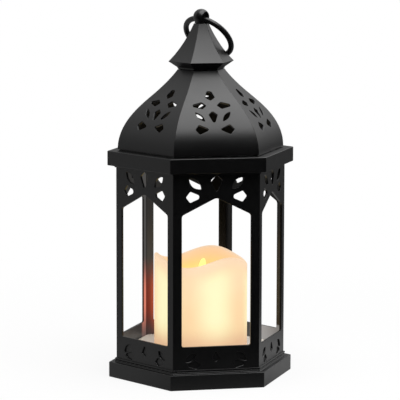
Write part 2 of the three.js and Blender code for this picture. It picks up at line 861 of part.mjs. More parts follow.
function switchHousing() {
  const insideX = 2 * knobWidth;
  const insideY = knobLength + switchTravel + 2 * housingWall;
  const outsideX = insideX + 2 * housingWall;
  const outsideY = insideY + 2 * housingWall;
  const roof = knobHigh + gap;
  const shell = block(outsideX, outsideY, housingFoot, roof + housingWall, switchPlace, 0);
  return carve(shell, { cut: [block(insideX, insideY, housingFoot - 1, roof, switchPlace, 0)] });
}
addPart('switch_housing', switchHousing(), blackSatin);

function switchSlider() {
  const place = -switchTravel / 2;
  const plateX = 2 * (knobWidth - gap);
  const plate = block(plateX, knobLength + housingWall, knobLow, knobHigh, switchPlace, place);
  const foot = coverRecess / 2;
  const groove = knobLength / 8;
  const grooves = [-1, 0, 1].map((i) => (
    block(2 * knobWidth, groove, foot - groove, foot + groove, switchPlace, place + 2.5 * i * groove)
  ));
  return carve(plate, {
    add: [block(knobWidth, knobLength, foot, knobLow + gap, switchPlace, place)],
    cut: grooves,
  });
}
addPart('switch_slider', switchSlider(), whiteSatin);

export default lantern;
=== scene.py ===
"""Hexagonal lantern with a battery candle, dressed around its CAD frame.

Shapes are worked out in millimetres and put into the meshes in metres. The camera, the lights
and the coordinates that materials read are in metres. +Z is up, a flat side of the lantern
faces -Y, and two corners of its hexagon lie on +X and -X.
"""

import math

import bpy
import numpy as np
from mathutils import Matrix, Vector
from mathutils.geometry import delaunay_2d_cdt


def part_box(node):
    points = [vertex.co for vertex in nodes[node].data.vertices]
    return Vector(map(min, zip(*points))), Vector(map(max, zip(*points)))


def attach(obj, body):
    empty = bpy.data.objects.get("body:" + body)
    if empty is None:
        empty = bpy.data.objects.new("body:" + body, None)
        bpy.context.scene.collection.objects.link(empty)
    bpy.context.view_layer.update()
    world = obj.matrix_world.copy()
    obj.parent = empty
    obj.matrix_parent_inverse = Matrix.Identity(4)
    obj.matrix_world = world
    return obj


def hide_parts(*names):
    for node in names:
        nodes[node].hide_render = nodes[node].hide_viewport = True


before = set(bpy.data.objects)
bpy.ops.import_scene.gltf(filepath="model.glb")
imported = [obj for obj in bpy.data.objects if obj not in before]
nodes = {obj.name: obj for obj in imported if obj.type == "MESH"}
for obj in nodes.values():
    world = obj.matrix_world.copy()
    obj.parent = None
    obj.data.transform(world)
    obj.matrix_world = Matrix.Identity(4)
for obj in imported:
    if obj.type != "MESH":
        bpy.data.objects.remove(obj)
scene = bpy.context.scene
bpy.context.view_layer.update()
scene.view_settings.view_transform = "Standard"

# Camera: a long lens about 1.8 m away, a little above the lantern and to the left of the
# middle of its front side.
camera_place = (-0.3614, -1.7150, 0.3677)
camera_turn = math.radians(11.88)
camera_dip = math.radians(8.02)
camera_roll = math.radians(0.12)

camera_data = bpy.data.cameras.new("camera")
camera_data.sensor_width = 36.0
camera_data.lens = 232.3
camera_data.clip_start = 0.05
camera_data.clip_end = 30.0
camera = bpy.data.objects.new("camera", camera_data)
scene.collection.objects.link(camera)
scene.camera = camera
camera.matrix_world = (
    Matrix.Translation(camera_place)
    @ Matrix.Rotation(-camera_turn, 4, "Z")
    @ Matrix.Rotation(math.radians(90) - camera_dip, 4, "X")
    @ Matrix.Rotation(camera_roll, 4, "Z")
)


# Stage: a white floor that curves up into a backdrop. The camera sees it white. In the
# lantern's gloss it is dark in front, as a studio is on the camera's side, and behind the
# lantern it is grey, brighter close by, and brightest high up on the right.
class Wire:
    """A number that runs through a node tree. Arithmetic on it adds Math nodes."""

    def __init__(self, finish, socket):
        self.finish = finish
        self.socket = socket

    def math(self, operation, *others):
        return self.finish.math(operation, self, *others)

    def __add__(self, other):
        return self.math("ADD", other)

    def __sub__(self, other):
        return self.math("SUBTRACT", other)

    def __rsub__(self, other):
        return self.finish.math("SUBTRACT", other, self)

    def __mul__(self, other):
        return self.math("MULTIPLY", other)

    def __truediv__(self, other):
        return self.math("DIVIDE", other)

    def __pow__(self, other):
        return self.math("POWER", other)

    __radd__ = __add__
    __rmul__ = __mul__

    def clamped(self):
        """The number, kept from 0 to 1."""
        return self.math("MAXIMUM", 0.0).math("MINIMUM", 1.0)

    def between(self, start, end):
        """Rises smoothly from 0 to 1 as the number goes from start to end."""
        values = {"Value": self, "From Min": start, "From Max": end}
        node = self.finish.node("ShaderNodeMapRange", values, interpolation_type="SMOOTHSTEP")
        return Wire(self.finish, node.outputs[0])


class Finish:
    """A material's node tree while it is being built."""

    def __init__(self, name, tree=None):
        self.material = None
        if tree is None:
            self.material = bpy.data.materials.new(name)
            self.material.use_nodes = True
            tree = self.material.node_tree
        tree.nodes.clear()
        self.tree = tree

    def node(self, kind, values, **settings):
        """Adds a node: its settings come first, then the values or links of its sockets."""
        made = self.tree.nodes.new(kind)
        for key, value in settings.items():
            setattr(made, key, value)
        for key, value in values.items():
            socket = made.inputs[key]
            if isinstance(value, Wire):
                self.tree.links.new(value.socket, socket)
            elif isinstance(value, bpy.types.NodeSocket):
                self.tree.links.new(value, socket)
            else:
                socket.default_value = value
        return made

    def math(self, operation, *values):
        node = self.node("ShaderNodeMath", dict(enumerate(values)), operation=operation)
        return Wire(self, node.outputs[0])

    def split(self, vector):
        """The X, Y and Z of a vector."""
        parts = self.node("ShaderNodeSeparateXYZ", {0: vector})
        return [Wire(self, socket) for socket in parts.outputs]

    def places(self):
        """The X, Y and Z of the surface point, in metres, and the whole vector."""
        vector = self.node("ShaderNodeTexCoord", {}).outputs["Object"]
        return [*self.split(vector), vector]

    def outward(self, x, y):
        """The distance of a point from the axis, times how squarely it faces away from it."""
        normal = self.split(self.node("ShaderNodeNewGeometry", {}).outputs["Normal"])
        return x * normal[0] + y * normal[1]

    def rays(self):
        """Whether a ray comes from the camera or through glass, and whether from gloss."""
        path = self.node("ShaderNodeLightPath", {}).outputs
        camera_ray, through, glossy = [
            Wire(self, path[f"Is {kind} Ray"]) for kind in ("Camera", "Transmission", "Glossy")
        ]
        return camera_ray + through, glossy

    def noise(self, vector, scale, detail):
        values = {"Vector": vector, "Scale": scale, "Detail": detail}
        return Wire(self, self.node("ShaderNodeTexNoise", values).outputs[0])

    def mixed(self, share, first, second):
        """The first colour where share is 0 and the second where it is 1."""
        values = {0: share, 6: first, 7: second}
        return self.node("ShaderNodeMix", values, data_type="RGBA").outputs[2]

    def bump(self, height, strength, distance):
        values = {"Height": height, "Strength": strength, "Distance": distance}
        return self.node("ShaderNodeBump", values).outputs[0]

    def surface(self, **values):
        """Ends the tree in a Principled surface; the names are its sockets' names."""
        named = {key.replace("_", " "): value for key, value in values.items()}
        shader = self.node("ShaderNodeBsdfPrincipled", named)
        self.node("ShaderNodeOutputMaterial", {"Surface": shader.outputs[0]})
        return self.material


def grid_faces(rows, columns, around=False, closed=False):
    """Two triangles for each cell of a grid of points. Its last column may join its first
    (around), and its last row its first (closed)."""
    down = np.arange(rows if closed else rows - 1)[:, None]
    along = np.arange(columns if around else columns - 1)[None, :]
    a = down * columns + along
    b = down * columns + (along + 1) % columns
    c = (down + 1) % rows * columns + (along + 1) % columns
    d = (down + 1) % rows * columns + along
    return np.concatenate([
        np.stack([a, b, c], -1).reshape(-1, 3),
        np.stack([a, c, d], -1).reshape(-1, 3),
    ])


def unit(vectors):
    """The vectors, each at a length of 1."""
    return vectors / np.maximum(np.linalg.norm(vectors, axis=1, keepdims=True), 1e-9)


def add_mesh(name, patches, material):
    """One mesh from patches of points, normals and triangles. Points that coincide are welded,
    each triangle is turned to face the way its points' normals face, and these normals are
    kept for shading."""
    points = np.concatenate([patch[0] for patch in patches])
    normals = unit(np.concatenate([patch[1] for patch in patches]))
    starts = np.cumsum([0] + [len(patch[0]) for patch in patches[:-1]])
    faces = np.concatenate([patch[2] + start for patch, start in zip(patches, starts)])
    corners = points[faces]
    facing = np.cross(corners[:, 1] - corners[:, 0], corners[:, 2] - corners[:, 0])
    inward = (facing * normals[faces].sum(1)).sum(1) < 0
    faces[inward] = faces[inward][:, ::-1]
    _, first, welded = np.unique(
        np.round(points, 4), axis=0, return_index=True, return_inverse=True,
    )
    welded = welded.reshape(-1)[faces]
    whole = (welded != np.roll(welded, 1, axis=1)).all(1)
    welded, faces = welded[whole], faces[whole]
    mesh = bpy.data.meshes.new(name)
    mesh.from_pydata((points[first] * 0.001).tolist(), [], welded.tolist())
    mesh.shade_smooth()
    mesh.normals_split_custom_set(normals[faces].reshape(-1, 3).tolist())
    mesh.materials.append(material)
    piece = bpy.data.objects.new(name, mesh)
    scene.collection.objects.link(piece)
    return piece


floor_half = 3500.0
floor_front = -2600.0
floor_length = 2600.0
floor_bend = 900.0
floor_height = 2600.0

bend_angle = np.linspace(0, math.pi / 2, 25)
sweep = np.concatenate([
    np.stack([np.linspace(floor_front, floor_length, 20), np.zeros(20)], 1),
    np.stack([
        floor_length + floor_bend * np.sin(bend_angle),
        floor_bend * (1 - np.cos(bend_angle)),
    ], 1)[1:],
    [[floor_length + floor_bend, floor_height]],
])
slope = np.gradient(sweep, axis=0)
floor_points = np.concatenate([
    np.tile(np.linspace(-floor_half, floor_half, 3), len(sweep))[:, None],
    np.repeat(sweep, 3, axis=0),
], 1)
floor_normals = np.repeat(np.stack([0 * slope[:, 0], -slope[:, 1], slope[:, 0]], 1), 3, axis=0)

backdrop = Finish("white_floor")
x, y, z, _ = backdrop.places()
seen, glossy = backdrop.rays()
reach = (x * x + y * y) ** 0.5
paper = backdrop.node("ShaderNodeBsdfDiffuse", {0: (0.8, 0.8, 0.8, 1.0)})
glow = backdrop.node("ShaderNodeEmission", {0: (1.0, 1.0, 1.0, 1.0), 1: 1.0})
unlit = backdrop.node("ShaderNodeEmission", {0: (0.0, 0.0, 0.0, 1.0), 1: 0.0})
shadowed = backdrop.node("ShaderNodeMixShader", {
    0: (seen + glossy).clamped() * (0.86 + 0.14 * reach.between(0.12, 0.5)),
    1: paper.outputs[0],
    2: glow.outputs[0],
})
behind = y.between(-0.15, 0.02)
near = 1 - reach.between(0.08, 0.34)
leftward = 1 - x.between(-0.15, 0.15)
on_left = 0.38 - 0.16 * z.between(0.1, 0.7) + 0.10 * near
on_right = 0.12 + 0.52 * near + 0.95 * z.between(0.9, 2.4)
brightness = leftward * on_left + (1 - leftward) * on_right
parted = backdrop.node("ShaderNodeMixShader", {
    0: glossy * (1 - behind * brightness), 1: shadowed.outputs[0], 2: unlit.outputs[0],
})
backdrop.node("ShaderNodeOutputMaterial", {"Surface": parted.outputs[0]})
floor = add_mesh(
    "floor", [(floor_points, floor_normals, grid_faces(len(sweep), 3))], backdrop.material,
)


# Light: a wide soft box overhead, just in front of the lantern, and a faint one low on the
# left. The world is white to the camera and dim as light. In the lantern's gloss it is dark on
# the camera's side, grey behind the lantern and bright up on the right.
def softbox(name, place, aim, width, height, power):
    data = bpy.data.lights.new(name, "AREA")
    data.shape = "RECTANGLE"
    data.size = width
    data.size_y = height
    data.energy = power
    lamp = bpy.data.objects.new(name, data)
    lamp.location = place
    lamp.rotation_euler = (Vector(aim) - Vector(place)).to_track_quat("-Z", "Y").to_euler()
    scene.collection.objects.link(lamp)
    return lamp


softbox("overhead", (0.2, -0.75, 2.1), (0.1, -0.4, 0.2), 2.0, 2.4, 64.0)
fill = softbox("fill", (-0.9, -2.2, 0.9), (0.0, 0.0, 0.1), 0.9, 0.9, 8.0)
fill.visible_glossy = False

world = bpy.data.worlds.new("studio")
world.use_nodes = True
scene.world = world
sky = Finish("studio", world.node_tree)
seen, glossy = sky.rays()
aside, ahead, up = sky.split(sky.node("ShaderNodeTexCoord", {}).outputs["Generated"])
glossed = glossy * ahead.between(-0.2, 0.5) * (
    0.45 + 0.3 * up.between(0.05, 0.4)
    + aside.between(-0.1, 0.4) * (1.45 * up.between(0.0, 0.45) - 0.05)
)
strength = seen.clamped() + glossed + (1 - (seen + glossy).clamped()) * 0.25
background = sky.node("ShaderNodeBackground", {0: (1.0, 1.0, 1.0, 1.0), 1: strength})
sky.node("ShaderNodeOutputWorld", {"Surface": background.outputs[0]})


# Plinth: a moulded shell of satin black plastic, open underneath. A step on top carries the
# panels, with a small rib round its foot, and its edges are a little rounded, as moulded
# edges are.
def satin_black(name, tone, shine, dull_core=0.0, light=lambda made: {}):
    """Black plastic: the tone and the gloss drift a little, and a fine grain breaks the gloss.
    Faces that look towards the axis are rougher, as the core of a mould isn't polished. The
    light, where one is given, is painted light: an emission that stands in for what falls on it
    from the candle."""
    made = Finish(name)
    x, y, _, vector = made.places()
    drift = made.noise(vector, 55.0, 4.0)
    grain = made.noise(vector, 2600.0, 2.0)
    core = dull_core * (1 - (made.outward(x, y) * 1000.0).between(-4.0, -1.0))
    return made.surface(
        Base_Color=made.mixed(drift, (*tone, 1.0), (*[value * 1.5 for value in tone], 1.0)),
        Roughness=drift * 0.12 + (shine - 0.06) + grain * 0.04 + core,
        Normal=made.bump(grain, 0.12, 0.00004),
        **light(made),
    )


jet = (0.0018, 0.0018, 0.0020)
jet_shine = 0.33
black_plastic = satin_black("black_plastic", jet, jet_shine, 0.5)

third = math.radians(60)
half_third = math.radians(30)
tan_half = math.tan(half_third)


def span_of(node):
    """How far a CAD node reaches along +Y, and its lowest and highest point, in millimetres."""
    low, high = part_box(node)
    return high[1] * 1000, low[2] * 1000, high[2] * 1000


def spokes(angle):
    """The unit vectors at these angles from +X."""
    return np.stack([np.cos(angle), np.sin(angle)], 1)


def rounded_profile(corners, radius, steps=4):
    """A closed profile of [distance from the axis, height] points with its corners rounded.
    Each corner becomes an arc that touches both sides, and the normals turn along the arc.
    A bend of under 15 degrees is part of a curve and stays one point, with a mean normal."""
    corners = np.asarray(corners, float)
    before = corners - np.roll(corners, 1, axis=0)
    after = np.roll(before, -1, axis=0)
    reach_in, reach_out = np.linalg.norm(before, axis=1), np.linalg.norm(after, axis=1)
    before, after = before / reach_in[:, None], after / reach_out[:, None]
    points, normals = [], []
    for corner, a, b, la, lb in zip(corners, before, after, reach_in, reach_out):
        bend = math.atan2(a[0] * b[1] - a[1] * b[0], a @ b)
        outward = np.array([a[1], -a[0]])
        if abs(bend) < math.radians(15):
            points.append(corner[None])
            normals.append((outward + [b[1], -b[0]])[None] / 2)
            continue
        tangent = min(radius * abs(math.tan(bend / 2)), 0.45 * la, 0.45 * lb)
        arc = tangent / math.tan(bend / 2)
        turn = math.atan2(outward[1], outward[0]) + bend * np.linspace(0, 1, steps + 1)
        points.append(corner - a * tangent - outward * arc + spokes(turn) * arc)
        normals.append(spokes(turn))
    return np.concatenate(points), np.concatenate(normals)


def hexagon_sweep(points, normals, rounding, closed=True, corners_only=False):
    """A profile carried round the hexagon. At a distance a from the axis the path is a hexagon
    of apothem a - rounding, grown by a circle of that radius, so its corners are arcs. On an
    arc the normal's height is scaled by the cosine of the angle from the corner over the
    cosine of 30 degrees."""
    steps = 5
    corner = np.repeat(third * np.arange(6), steps + 1)
    turn = np.tile(np.linspace(-half_third, half_third, steps + 1), 6)
    radius, height = points.T[..., None, None]
    out, rise = normals.T[..., None, None]
    rounding = np.minimum(np.broadcast_to(rounding, len(points))[:, None, None], radius)
    ridge, spoke = spokes(corner) / math.cos(half_third), spokes(corner + turn)
    lean = np.cos(turn)[:, None] / math.cos(half_third)
    flat = (radius - rounding) * ridge + rounding * spoke
    swept = np.concatenate([flat, height * np.ones_like(lean)], -1).reshape(-1, 3)
    facing = np.concatenate([out * spoke, rise * lean], -1).reshape(-1, 3)
    faces = grid_faces(len(points), len(turn), around=True, closed=closed)
    if corners_only:
        place = faces % len(turn)
        one_arc = np.ptp(place // (steps + 1), axis=1) == 0
        faces = faces[one_arc & (np.ptp(place, axis=1) <= 1)]
    return swept, facing, faces


wall = 2.0
edge_round = 0.4
hexagon_round = 0.4
plinth_out, _, step_top = span_of("base_plinth")
plinth_top = 10.5
step_out = 49.883
rib_out = 52.0
rib_top = 11.7
well_opening = 28.9

plinth = add_mesh("plinth", [hexagon_sweep(*rounded_profile([
    [well_opening, step_top - wall],
    [step_out - wall, step_top - wall],
    [step_out - wall, plinth_top - wall],
    [plinth_out - wall, plinth_top - wall],
    [plinth_out - wall, 0.0],
    [plinth_out, 0.0],
    [plinth_out, plinth_top],
    [rib_out, plinth_top],
    [rib_out, rib_top],
    [step_out, rib_top],
    [step_out, step_top],
    [well_opening, step_top],
], edge_round), hexagon_round)], black_plastic)
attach(plinth, "lantern")
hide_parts("base_plinth")

# Cover, battery door and switch housing: black mouldings under the plinth. They keep their
# CAD shapes and get the same plastic, a shade duller because their moulds aren't polished.
dull_plastic = satin_black("black_plastic_dull", (0.0040, 0.0040, 0.0042), 0.46)


def finish_nodes(material, *names):
    """Gives CAD nodes this material in place of their own."""
    for name in names:
        mesh = nodes[name].data
        mesh.materials.clear()
        mesh.materials.append(material)


finish_nodes(dull_plastic, "base_cover", "battery_door", "switch_housing")


# Candle tower and switch knob: white mouldings, slightly warm and satin. The tower stands on
# the cover and carries the lamp, and the knob slides in its housing. They keep their CAD
# shapes.
def satin_white():
    made = Finish("white_plastic")
    vector = made.places()[3]
    drift = made.noise(vector, 70.0, 3.0)
    grain = made.noise(vector, 2200.0, 2.0)
    return made.surface(
        Base_Color=made.mixed(drift, (0.80, 0.79, 0.76, 1.0), (0.86, 0.85, 0.83, 1.0)),
        Roughness=drift * 0.1 + 0.42,
        Normal=made.bump(grain, 0.1, 0.00004),
    )


white_plastic = satin_white()
finish_nodes(white_plastic, "candle_tower", "switch_slider")


# Tray: the lantern's floor, a moulding of the same white plastic that lies on the plinth,
# inside the panels. It is six-sided outside, and a round seat in its middle takes the candle.
def lathed(points, normals, segments=64, closed=True):
    """A profile of [radius, height] turned about the axis."""
    turn = np.insert(spokes(np.linspace(0, 2 * math.pi, segments, endpoint=False)), 2, 1, axis=1)
    spun = [(values[:, None, [0, 0, 1]] * turn).reshape(-1, 3) for values in (points, normals)]
    return *spun, grid_faces(len(points), segments, around=True, closed=closed)


_, tray_foot, seat_top = span_of("floor_plate")
tray_top = 19.0
tray_out = 48.795
seat_radius = 32.4
seat_ledge = 31.3
spun, facing, faces = lathed(*rounded_profile([
    [seat_ledge, tray_foot],
    [tray_out, tray_foot],
    [tray_out, tray_top],
    [seat_radius, tray_top],
    [seat_radius, seat_top],
    [seat_ledge, seat_top],
], edge_round), 180)
roundness = np.clip((tray_out - 1 - np.hypot(spun[:, 0], spun[:, 1])) / 10, 0, 1)
six_sided = 1 / np.cos(np.arctan2(spun[:, 1], spun[:, 0]) % third - half_third)
spun[:, :2] *= (roundness + (1 - roundness) * six_sided)[:, None]
tray = add_mesh("tray", [(spun, facing, faces)], white_plastic)
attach(tray, "lantern")
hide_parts("floor_plate")


# Steel parts: zinc-plated screws that hold the cover and the cap, and the tinned strips that
# join the cells. Fine drawn lines run over them.
def plated_steel():
    made = Finish("steel")
    vector = made.places()[3]
    drift = made.noise(vector, 120.0, 3.0)
    lines = made.noise(vector, 3000.0, 2.0)
    return made.surface(
        Base_Color=made.mixed(drift, (0.55, 0.56, 0.57, 1.0), (0.68, 0.68, 0.67, 1.0)),
        Metallic=1.0,
        Roughness=drift * 0.15 + 0.24,
        Normal=made.bump(lines, 0.15, 0.00003),
    )


finish_nodes(
    plated_steel(), "base_screw_1", "base_screw_2", "base_screw_3", "finial_screw",
    "contact_strip_front", "contact_strip_rear",
)


# Cells: three small round cells that lie side by side in the cover's well. Each has a plain
# grey-blue jacket shrunk on its steel can, and the ends stay bare.
def cell_jacket():
    made = Finish("cell_jacket")
    _, y, _, vector = made.places()
    half_jacket = 0.0212
    bare = y.math("ABSOLUTE").between(half_jacket, half_jacket + 0.0002)
    drift = made.noise(vector, 90.0, 3.0)
    wrap = made.mixed(drift, (0.075, 0.105, 0.145, 1.0), (0.10, 0.135, 0.18, 1.0))
    return made.surface(
        Base_Color=made.mixed(bare, wrap, (0.62, 0.62, 0.60, 1.0)),
        Metallic=bare,
        Roughness=drift * 0.1 + 0.3,
    )


finish_nodes(cell_jacket(), "battery_1", "battery_2", "battery_3")


# Circuit board: a small round board on top of the tower that carries the lamp, with a green
# solder mask over faint copper traces.
def solder_mask():
    made = Finish("board")
    x, y, _, _ = made.places()
    trace = ((x * 2400.0).math("SINE") * (y * 2000.0).math("SINE")).between(0.1, 0.3)
    return made.surface(
        Base_Color=made.mixed(trace, (0.012, 0.085, 0.035, 1.0), (0.03, 0.16, 0.07, 1.0)),
        Roughness=0.32 + trace * 0.1,
    )


finish_nodes(solder_mask(), "circuit_board")


# Side panels: six black mouldings that stand on the plinth and meet in mitres. Each is a flat
# sheet with an arched window, a pierced fan above it and the same fan sunk blind below it, and
# a bead along its head and its foot.
def rounded_outline(corners, steps=5):
    """A closed outline from [x, y, reach] corners. Each corner is a parabola that leaves its
    sides at that distance from the corner."""
    share = np.linspace(0, 1, steps + 1)[:, None]
    loop = []
    for i, (x, y, reach) in enumerate(corners):
        corner = np.array([x, y])
        back = np.array(corners[i - 1][:2]) - corner
        on = np.array(corners[(i + 1) % len(corners)][:2]) - corner
        reach = max(min(reach, 0.49 * math.hypot(*back), 0.49 * math.hypot(*on)), 0.02)
        start = corner + back / math.hypot(*back) * reach
        end = corner + on / math.hypot(*on) * reach
        loop.append((1 - share) ** 2 * start + 2 * share * (1 - share) * corner + share ** 2 * end)
    return np.concatenate(loop)


def petal(length, width, narrow):
    """Narrow at its start and broad near its pointed end, lying along +X."""
    shoulder, point = 0.68 * length, 0.09 * length
    return [
        [0, -narrow / 2, narrow / 2],
        [shoulder, -width / 2, point],
        [length, 0, point],
        [shoulder, width / 2, point],
        [0, narrow / 2, narrow / 2],
    ]


def leaf(length, width):
    """An almond shape: two parabolas from tip to tip, with the tips just rounded."""
    share = np.linspace(0, 1, 9)
    edge = np.stack([share * length, 2 * share * (1 - share) * width], 1)
    tip = 0.05 * length
    lower = [[x, -y, tip if x in (0, length) else 0.0] for x, y in edge]
    return lower + [[x, y, 0.0] for x, y in edge[-2:0:-1]]


def turning(angle):
    """The matrix that turns points, as rows, about the third axis."""
    cosine, sine = math.cos(angle), math.sin(angle)
    return np.array([[cosine, sine, 0], [-sine, cosine, 0], [0, 0, 1]])


def placed(shape, x, y, degrees, size, foot):
    """A shape moved to its place in the ornament, at its full size, above the foot."""
    corners = np.array(shape) @ turning(math.radians(degrees)) + [x, y, 0]
    return rounded_outline((corners * size).tolist()) + [0, foot]


def mirrored(outlines):
    """The outlines and their mirror images on the other side of the middle line."""
    return outlines + [outline[::-1] * [-1, 1] for outline in outlines]


def outward_of(outline):
    """The mean of the two edge normals at each point of a closed outline, pointing away from
    its middle, and long enough to keep both edges at the same distance."""
    edge = unit(np.roll(outline, -1, axis=0) - outline)
    side = np.stack([edge[:, 1], -edge[:, 0]], 1)
    mean = unit(side + np.roll(side, 1, axis=0))
    stretch = 1 / np.maximum((mean * side).sum(1, keepdims=True), 0.7)
    x, y = outline[:, 0], outline[:, 1]
    area = (x * np.roll(y, -1) - y * np.roll(x, -1)).sum()
    return mean * stretch * np.sign(area)


def inside(points, outline):
    """Whether each point lies inside a closed outline: a ray from it crosses the outline an
    odd number of times."""
    a, b = outline, np.roll(outline, -1, axis=0)
    x, y = points[:, :1], points[:, 1:]
    spans = (a[:, 1] > y) != (b[:, 1] > y)
    rise = np.where(b[:, 1] == a[:, 1], 1e-12, b[:, 1] - a[:, 1])
    crossing = a[:, 0] + (y - a[:, 1]) * (b[:, 0] - a[:, 0]) / rise
    return (spans & (x < crossing)).sum(1) % 2 == 1


def in_sheet(points, loops):
    """Whether each point lies inside the first loop, the border, and outside the others."""
    within = [inside(points, loop) for loop in loops]
    return within[0] & ~np.any(within[1:], axis=0)


def distance_to(points, outline):
    """The distance from each point to the nearest edge of a closed outline."""
    a, b = outline, np.roll(outline, -1, axis=0)
    run = b - a
    offset = points[:, None] - a[None]
    share = np.clip((offset * run).sum(-1) / np.maximum((run ** 2).sum(1), 1e-12), 0, 1)
    return np.linalg.norm(offset - share[..., None] * run, axis=-1).min(1)


def filled(loops, spacing=None):
    """Triangles that fill the first loop, the border, around the others. A grid of points at
    the spacing is worked in where the sheet is curved."""
    points = np.concatenate(loops)
    starts = np.cumsum([0] + [len(loop) for loop in loops[:-1]])
    edges = np.concatenate([
        np.stack([np.arange(len(loop)), np.roll(np.arange(len(loop)), -1)], 1) + start
        for loop, start in zip(loops, starts)
    ])
    if spacing:
        sides = zip(loops[0].min(0), loops[0].max(0), spacing)
        lines = [np.linspace(low, high, int((high - low) / step) + 1) for low, high, step in sides]
        spread = np.stack(np.meshgrid(*lines), -1).reshape(-1, 2)
        gap = np.min([distance_to(spread, loop) for loop in loops], axis=0)
        keep = in_sheet(spread, loops) & (gap > 0.35 * spacing[1])
        points = np.concatenate([points, spread[keep]])
    found = delaunay_2d_cdt(points.tolist(), edges.tolist(), [], 0, 1e-7)
    flat = np.array([tuple(v) for v in found[0]])
    faces = np.array(found[2])
    return flat, faces[in_sheet(flat[faces].mean(1), loops)]


def lip_rings(outline, radius):
    """Rings round an opening's upper lip, a quarter circle from the sheet's face down into the
    opening: each ring is the outline moved outwards, its depth, and its normals."""
    away = outward_of(outline)
    rings = []
    for turn in np.linspace(0, math.pi / 2, 4):
        spread = radius * (1 - math.sin(turn))
        depth = radius * (math.cos(turn) - 1)
        normal = np.insert(-away * math.sin(turn), 2, math.cos(turn), axis=1)
        rings.append((outline + away * spread, depth, normal))
    return rings


def ring_patch(rings):
    """The wall that joins each ring to the next."""
    points = np.concatenate([np.insert(flat, 2, depth, axis=1) for flat, depth, _ in rings])
    normals = np.concatenate([normal for _, _, normal in rings])
    return points, normals, grid_faces(len(rings), len(rings[0][0]), around=True)


def flat_patch(flat, faces, depth, facing):
    """A level stretch of the sheet at a depth, which faces out (1) or back (-1)."""
    normals = np.tile([0.0, 0.0, facing], (len(flat), 1))
    return np.insert(flat, 2, depth, axis=1), normals, faces


blind_depth = 1.0
blind_lip = 0.55


def pierced_sheet(border, holes, sunk, thick, lip, spacing=None):
    """A sheet with its face at depth 0 and its back at minus its thickness, as patches of
    [across, along, depth] points. The openings go through it, with their edges rounded by the
    lip, and the sunk ones stop at the blind depth."""
    patches = []
    through = []
    for outline in holes:
        rings = lip_rings(outline, lip)
        under = [
            (flat, -thick - depth, normal * [1, 1, -1]) for flat, depth, normal in rings[::-1]
        ]
        patches.append(ring_patch(rings + under))
        through.append(rings[0][0])
    blind = []
    for outline in sunk:
        rings = lip_rings(outline, blind_lip)
        patches.append(ring_patch(rings + [(outline, -blind_depth, rings[-1][2])]))
        patches.append(flat_patch(*filled([outline]), -blind_depth, 1.0))
        blind.append(rings[0][0])
    patches.append(flat_patch(*filled([border, *through, *blind], spacing), 0.0, 1.0))
    patches.append(flat_patch(*filled([border, *through], spacing), -thick, -1.0))
    return patches


def turned_round(patch, turns):
    """A patch turned about the axis by a number of sixths."""
    return patch[0] @ turning(turns * third), patch[1] @ turning(turns * third), patch[2]


_, panel_foot, panel_head = span_of("side_panel_1")
panel_out = 51.095
panel_wall = 1.5
panel_seam = 0.06
panel_half = panel_out * tan_half - panel_seam
panel_round = 0.25
bead_height = 1.1
bead_proud = 0.9
bead_sunk = 0.5
bead_round = 0.2
window_half = 23.6
window_sill = 28.7
window_shoulder = 117.6
window_apex = 129.3
fan_size = 16.697

window = rounded_outline([
    [-window_half, window_sill, 1.5],
    [window_half, window_sill, 1.5],
    [window_half, window_shoulder, 1.6],
    [0, window_apex, 2.0],
    [-window_half, window_shoulder, 1.6],
])


def fan(foot, middle, *sides):
    """Five openings above the foot: one in the middle and two on each side of it."""
    pair = [placed(*side, fan_size, foot) for side in sides]
    return [placed(*middle, fan_size, foot), *mirrored(pair)]


pierced_fan = fan(
    window_apex,
    (petal(0.64, 0.48, 0.11), 0, 0.27, 90),
    (leaf(0.68, 0.31), 1.126, 0.8, 222),
    (petal(0.55, 0.46, 0.14), 0.7, 0.036, 0),
)
blind_fan = fan(
    panel_foot,
    (petal(0.4, 0.32, 0.08), 0, 0.77, 270),
    (leaf(0.53, 0.25), 1.26, 0.38, 139),
    (petal(0.5, 0.34, 0.11), 1.16, 0.26, 180),
)


def stood_up(patch):
    """A sheet's [across, along, depth] points stood up at the panel's distance from the axis."""
    points, normals, faces = patch
    upright = [0, 2, 1]
    forwards = [1, -1, 1]
    place = points[:, upright] * forwards - [0, panel_out, 0]
    return place, normals[:, upright] * forwards, faces


def mitred(patch):
    """Towards the panel's ends the points move along the mitre by their depth times the
    tangent of 30 degrees."""
    points = patch[0].copy()
    points[:, 0] += points[:, 2] * tan_half * (points[:, 0] / panel_half) ** 9
    return points, *patch[1:]


def panel_rim():
    """The edges of the sheet: rings that follow its outline from the face, round the edge and
    on to the back."""
    corners = np.array([
        [-panel_half, panel_foot], [panel_half, panel_foot],
        [panel_half, panel_head], [-panel_half, panel_head],
    ])
    inward = np.array([[1, 1], [-1, 1], [-1, -1], [1, -1]])
    turn = np.linspace(0, math.pi / 2, 4)
    rings = [
        (corners + inward * panel_round * (1 - math.sin(t)), panel_round * (math.cos(t) - 1))
        for t in turn
    ]
    rings += [(flat, -panel_wall - depth) for flat, depth in rings[::-1]]
    lean = [math.sin(t) for t in (*turn, *turn[::-1])]
    rise = [math.cos(t) for t in turn] + [-math.cos(t) for t in turn[::-1]]
    patches = []
    for side, out in enumerate([[0, -1], [1, 0], [0, 1], [-1, 0]]):
        ends = [side, (side + 1) % 4]
        points = np.concatenate([np.insert(flat[ends], 2, depth, axis=1) for flat, depth in rings])
        normals = np.concatenate([
            np.tile([out[0] * a, out[1] * a, b], (2, 1)) for a, b in zip(lean, rise)
        ])
        patches.append((points, normals, grid_faces(len(rings), 2)))
    return rings[0][0], patches


